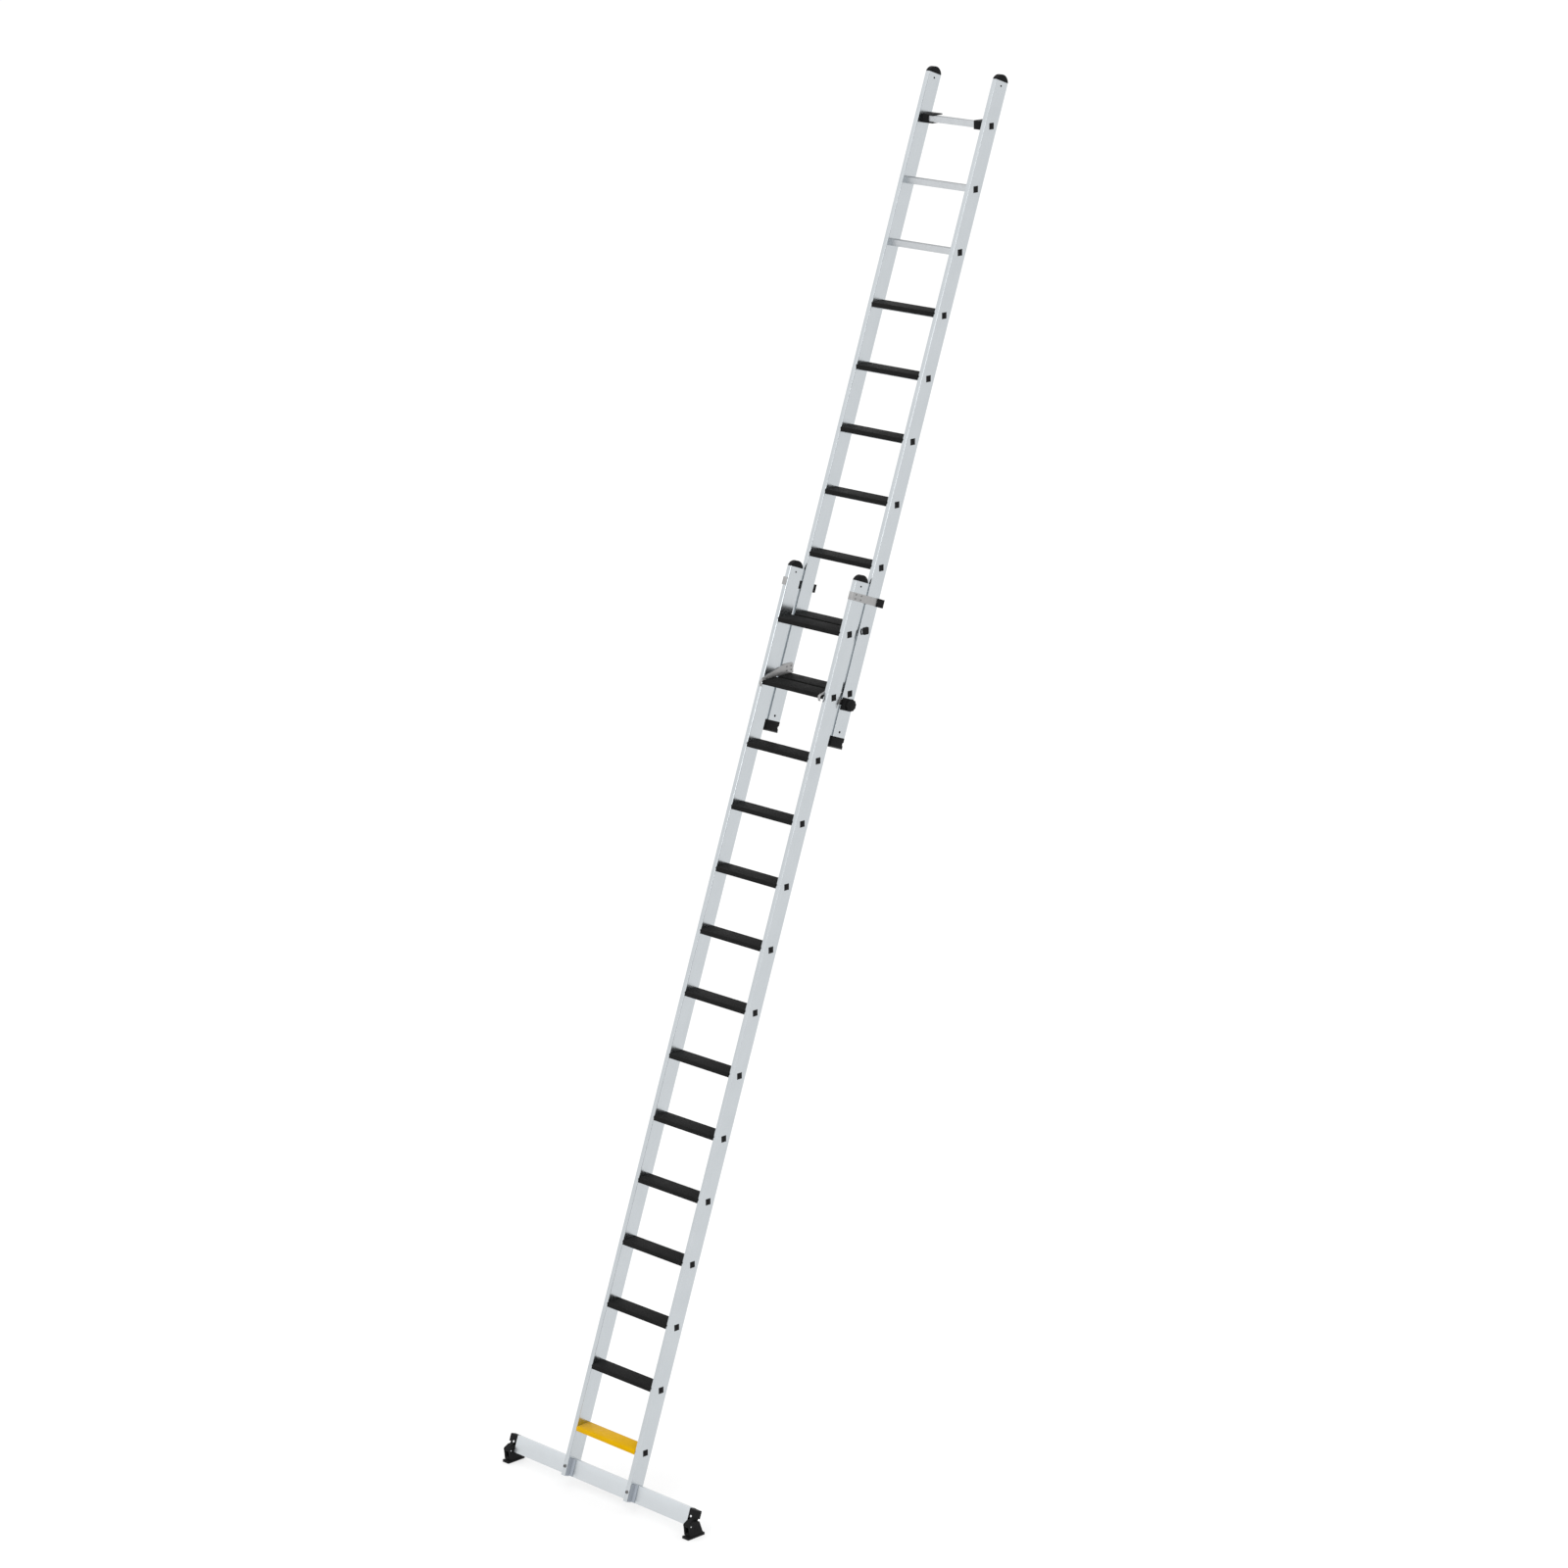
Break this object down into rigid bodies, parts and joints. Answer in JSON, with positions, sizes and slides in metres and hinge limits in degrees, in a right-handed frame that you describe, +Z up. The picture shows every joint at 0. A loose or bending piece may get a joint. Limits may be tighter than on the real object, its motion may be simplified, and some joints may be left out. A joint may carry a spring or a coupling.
{
  "type": "extension ladder",
  "caption": "Push-up extension ladder with step treads on square rungs, guide straps, rung hooks, a clamp-knob lock, and a stabiliser bar on tilting shoes.",
  "frame": {"origin": "on the ground, under the middle of the ladder's bounding box, with the ladder leaning back at its climbing angle", "axes": "+Z up, +X across the rungs to the ladder's right as seen from the front, +Y back in the direction it leans"},
  "size_m": [1.2012, 2.3257, 5.994],
  "materials": {
    "aluminium": "mill-finish extruded profile, satin",
    "steel": "zinc-plated pressed plate, bolts and rivets",
    "black_plastic": "moulded, fine satin grain",
    "black_tread": "moulded with a gritty anti-slip face",
    "yellow_plastic": "smooth and glossy with a rounded nose"
  },
  "bodies": {
    "base_section": {"base_stile_left": "aluminium", "base_stile_right": "aluminium", "base_step_01": "yellow_plastic", "base_step_02": "black_tread", "base_step_03": "black_tread", "base_step_04": "black_tread", "base_step_05": "black_tread", "base_step_06": "black_tread", "base_step_07": "black_tread", "base_step_08": "black_tread", "base_step_09": "black_tread", "base_step_10": "black_tread", "base_step_11": "black_tread", "base_step_12": "black_tread", "base_step_13": "black_tread", "base_step_14": "black_tread", "base_top_cap_left": "black_plastic", "base_top_cap_right": "black_plastic", "guide_strap_left": "steel", "guide_strap_right": "steel", "guide_pad_left": "black_plastic", "guide_pad_right": "black_plastic", "stabiliser_bar": "aluminium", "bar_saddle_left": "aluminium", "bar_saddle_right": "aluminium", "bar_bolt_left": "steel", "bar_bolt_right": "steel", "shoe_housing_left": "black_plastic", "shoe_housing_right": "black_plastic"},
    "upper_section": {"upper_stile_left": "aluminium", "upper_stile_right": "aluminium", "upper_step_01": "black_tread", "upper_step_02": "black_tread", "upper_step_03": "black_tread", "upper_step_04": "black_tread", "upper_step_05": "black_tread", "upper_step_06": "black_tread", "upper_step_07": "black_tread", "upper_rung_08": "aluminium", "upper_rung_09": "aluminium", "upper_rung_10": "aluminium", "upper_top_cap_left": "black_plastic", "upper_top_cap_right": "black_plastic", "upper_end_foot_left": "black_plastic", "upper_end_foot_right": "black_plastic", "hook_left": "steel", "hook_right": "steel", "wall_clip_left": "black_plastic", "wall_clip_right": "black_plastic", "extension_stop": "black_plastic", "lock_block": "black_plastic", "lock_tongue": "steel"},
    "lock_knob": {"lock_knob": "black_plastic"},
    "shoe_left": {"shoe_knuckle_left": "black_plastic", "shoe_pin_left": "steel"},
    "sole_left": {"shoe_sole_left": "black_plastic"},
    "shoe_right": {"shoe_knuckle_right": "black_plastic", "shoe_pin_right": "steel"},
    "sole_right": {"shoe_sole_right": "black_plastic"}
  },
  "joints": [
    {"name": "section_slide", "type": "slide", "parent": "base_section", "child": "upper_section", "axis": [0, 0.342, 0.9397], "range_m": [-2.24, 0]},
    {"name": "lock_knob_turn", "type": "hinge", "parent": "upper_section", "child": "lock_knob", "pos_m": [0.2415, 0.17645, 3.36642], "axis": [1, 0, 0], "continuous": true},
    {"name": "shoe_pitch_left", "type": "hinge", "parent": "base_section", "child": "shoe_left", "pos_m": [-0.5805, -1.1453, 0.058], "axis": [1, 0, 0], "range_deg": [-10, 10]},
    {"name": "sole_roll_left", "type": "hinge", "parent": "shoe_left", "child": "sole_left", "pos_m": [-0.5805, -1.1163, 0.019], "axis": [0, 1, 0], "range_deg": [-7, 7]},
    {"name": "shoe_pitch_right", "type": "hinge", "parent": "base_section", "child": "shoe_right", "pos_m": [0.5805, -1.1453, 0.058], "axis": [1, 0, 0], "range_deg": [-10, 10]},
    {"name": "sole_roll_right", "type": "hinge", "parent": "shoe_right", "child": "sole_right", "pos_m": [0.5805, -1.1163, 0.019], "axis": [0, 1, 0], "range_deg": [-7, 7]}
  ]
}
